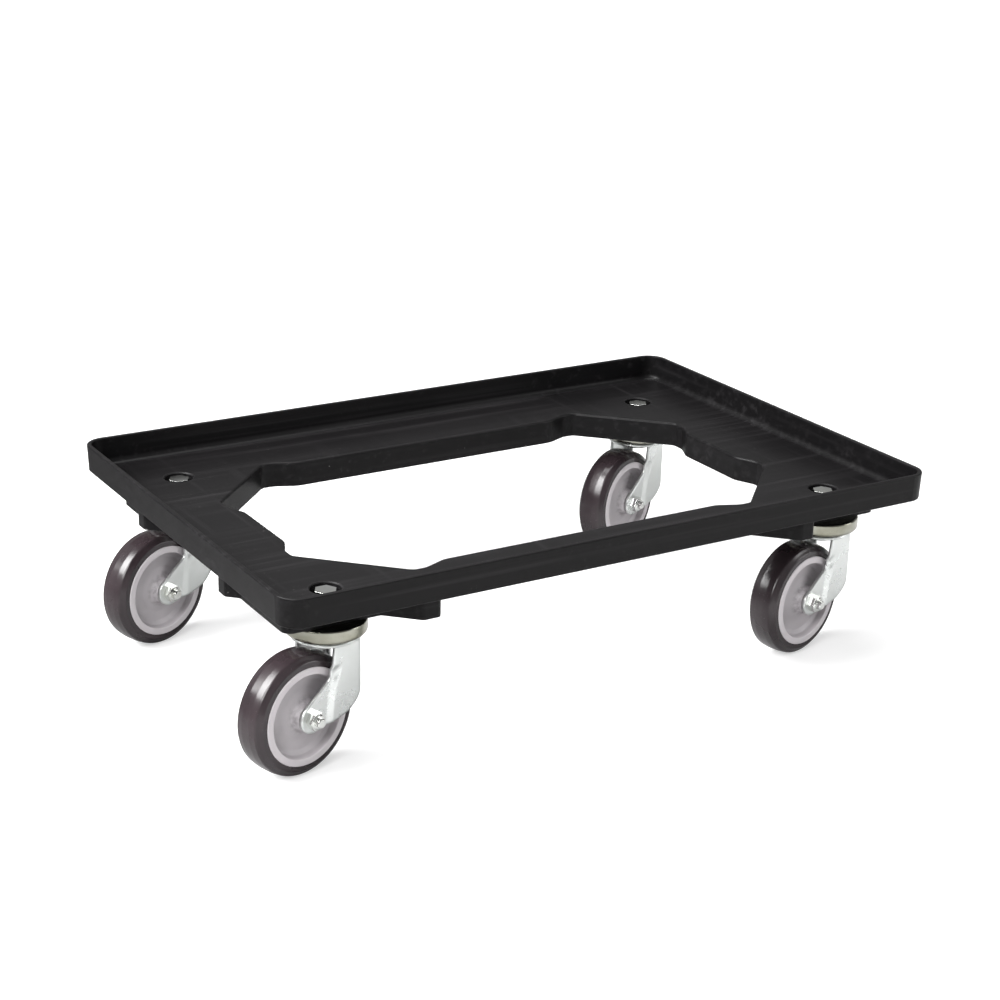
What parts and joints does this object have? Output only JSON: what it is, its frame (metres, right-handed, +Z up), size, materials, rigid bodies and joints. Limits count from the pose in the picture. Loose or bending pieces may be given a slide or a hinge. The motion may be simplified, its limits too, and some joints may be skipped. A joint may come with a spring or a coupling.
{
  "type": "platform trolley",
  "caption": "Low open-frame platform trolley: moulded rectangular deck with an upstanding rim that locates a crate, carried on swivel casters with free-rolling wheels.",
  "frame": {"origin": "on the floor, below the middle of the whole object's box at rest; the deck's own centre is 8 mm further along +X, because two wheels trail out past its -X end", "axes": "+X along the deck's long side, +Y along its short side, +Z up"},
  "size_m": [0.6311, 0.4148, 0.1675],
  "materials": {
    "deck_plastic": "semi-gloss moulded black plastic",
    "zinc_steel": "bright zinc plated",
    "bearing_steel": "polished",
    "seal_plastic": "matte",
    "bush_plastic": "matte",
    "hub_plastic": "satin moulded grey plastic",
    "tyre_rubber": "smooth semi-gloss"
  },
  "bodies": {
    "deck": {"deck_frame": "deck_plastic", "mounting_bolts": "zinc_steel", "mounting_washers": "zinc_steel", "front_left_top_cup": "zinc_steel", "front_left_kingpin": "zinc_steel", "front_right_top_cup": "zinc_steel", "front_right_kingpin": "zinc_steel", "rear_left_top_cup": "zinc_steel", "rear_left_kingpin": "zinc_steel", "rear_right_top_cup": "zinc_steel", "rear_right_kingpin": "zinc_steel"},
    "front_left_swivel": {"front_left_fork": "zinc_steel", "front_left_dust_seal": "seal_plastic", "front_left_upper_balls": "bearing_steel", "front_left_lower_balls": "bearing_steel", "front_left_axle_bolt": "zinc_steel", "front_left_axle_nut": "zinc_steel", "front_left_axle_washers": "zinc_steel", "front_left_axle_sleeve": "zinc_steel"},
    "front_left_wheel": {"front_left_wheel_hub": "hub_plastic", "front_left_wheel_bush": "bush_plastic", "front_left_tyre": "tyre_rubber"},
    "front_right_swivel": {"front_right_fork": "zinc_steel", "front_right_dust_seal": "seal_plastic", "front_right_upper_balls": "bearing_steel", "front_right_lower_balls": "bearing_steel", "front_right_axle_bolt": "zinc_steel", "front_right_axle_nut": "zinc_steel", "front_right_axle_washers": "zinc_steel", "front_right_axle_sleeve": "zinc_steel"},
    "front_right_wheel": {"front_right_wheel_hub": "hub_plastic", "front_right_wheel_bush": "bush_plastic", "front_right_tyre": "tyre_rubber"},
    "rear_left_swivel": {"rear_left_fork": "zinc_steel", "rear_left_dust_seal": "seal_plastic", "rear_left_upper_balls": "bearing_steel", "rear_left_lower_balls": "bearing_steel", "rear_left_axle_bolt": "zinc_steel", "rear_left_axle_nut": "zinc_steel", "rear_left_axle_washers": "zinc_steel", "rear_left_axle_sleeve": "zinc_steel"},
    "rear_left_wheel": {"rear_left_wheel_hub": "hub_plastic", "rear_left_wheel_bush": "bush_plastic", "rear_left_tyre": "tyre_rubber"},
    "rear_right_swivel": {"rear_right_fork": "zinc_steel", "rear_right_dust_seal": "seal_plastic", "rear_right_upper_balls": "bearing_steel", "rear_right_lower_balls": "bearing_steel", "rear_right_axle_bolt": "zinc_steel", "rear_right_axle_nut": "zinc_steel", "rear_right_axle_washers": "zinc_steel", "rear_right_axle_sleeve": "zinc_steel"},
    "rear_right_wheel": {"rear_right_wheel_hub": "hub_plastic", "rear_right_wheel_bush": "bush_plastic", "rear_right_tyre": "tyre_rubber"}
  },
  "joints": [
    {"name": "front_left_swivel_turn", "type": "hinge", "parent": "deck", "child": "front_left_swivel", "pos_m": [-0.235, -0.1425, 0.113], "axis": [0, 0, 1], "continuous": true},
    {"name": "front_left_wheel_spin", "type": "hinge", "parent": "front_left_swivel", "child": "front_left_wheel", "pos_m": [-0.26569, -0.15101, 0.05], "axis": [0.2672, -0.9636, 0], "continuous": true},
    {"name": "front_right_swivel_turn", "type": "hinge", "parent": "deck", "child": "front_right_swivel", "pos_m": [0.251, -0.1425, 0.113], "axis": [0, 0, 1], "continuous": true},
    {"name": "front_right_wheel_spin", "type": "hinge", "parent": "front_right_swivel", "child": "front_right_wheel", "pos_m": [0.22016, -0.15047, 0.05], "axis": [0.2504, -0.9681, 0], "continuous": true},
    {"name": "rear_left_swivel_turn", "type": "hinge", "parent": "deck", "child": "rear_left_swivel", "pos_m": [-0.235, 0.1425, 0.113], "axis": [0, 0, 1], "continuous": true},
    {"name": "rear_left_wheel_spin", "type": "hinge", "parent": "rear_left_swivel", "child": "rear_left_wheel", "pos_m": [-0.26511, 0.13213, 0.05], "axis": [0.3256, -0.9455, 0], "continuous": true},
    {"name": "rear_right_swivel_turn", "type": "hinge", "parent": "deck", "child": "rear_right_swivel", "pos_m": [0.251, 0.1425, 0.113], "axis": [0, 0, 1], "continuous": true},
    {"name": "rear_right_wheel_spin", "type": "hinge", "parent": "rear_right_swivel", "child": "rear_right_wheel", "pos_m": [0.22157, 0.13031, 0.05], "axis": [0.3827, -0.9239, 0], "continuous": true}
  ]
}
